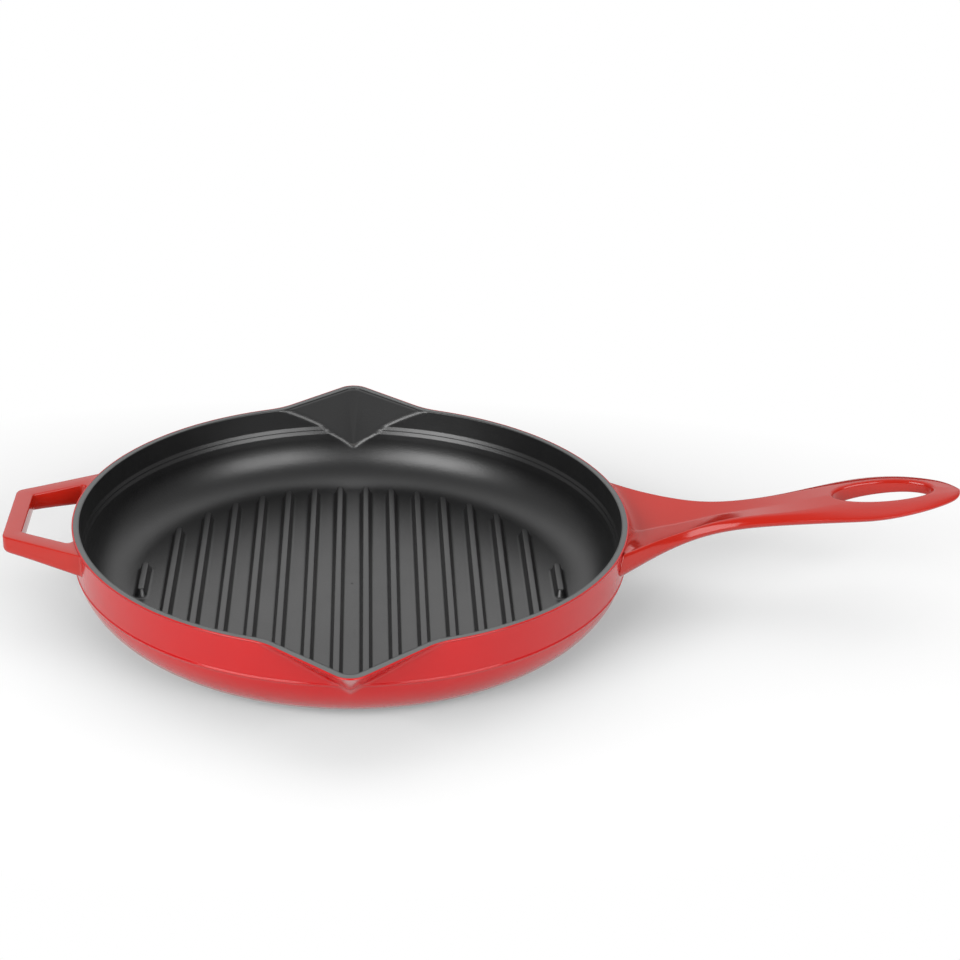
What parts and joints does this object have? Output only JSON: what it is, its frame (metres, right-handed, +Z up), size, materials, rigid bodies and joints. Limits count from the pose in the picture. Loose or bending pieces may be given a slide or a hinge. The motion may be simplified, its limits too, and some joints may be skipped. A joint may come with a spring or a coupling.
{
  "type": "grill pan",
  "caption": "Round ribbed grill pan of enamelled cast iron with opposed pouring spouts, a long handle with a hanging hole and a looped helper handle.",
  "frame": {"origin": "centre of the foot's flat face, on the bowl's axis, in the plane the pan stands on", "axes": "+Z up out of the bowl, +X along the long handle, the helper handle towards -X, the two pouring spouts towards +Y and -Y"},
  "size_m": [0.4817, 0.3344, 0.0627],
  "materials": {
    "iron": "bare ground casting at the foot, under enamel elsewhere",
    "cooking_enamel": "satin black enamel with a fine grain",
    "rib_iron": "satin black enamel over cast iron",
    "red_enamel": "glossy red enamel, slightly wavy",
    "handle_red": "glossy red enamel over cast iron",
    "lip_grey": "semi-matte grey enamel edge"
  },
  "bodies": {
    "root": {"bowl_casting": "iron", "grill_ribs": "rib_iron", "long_handle": "handle_red", "helper_handle": "handle_red", "inner_enamel": "cooking_enamel", "outer_enamel": "red_enamel", "lip_enamel": "lip_grey"}
  },
  "joints": []
}
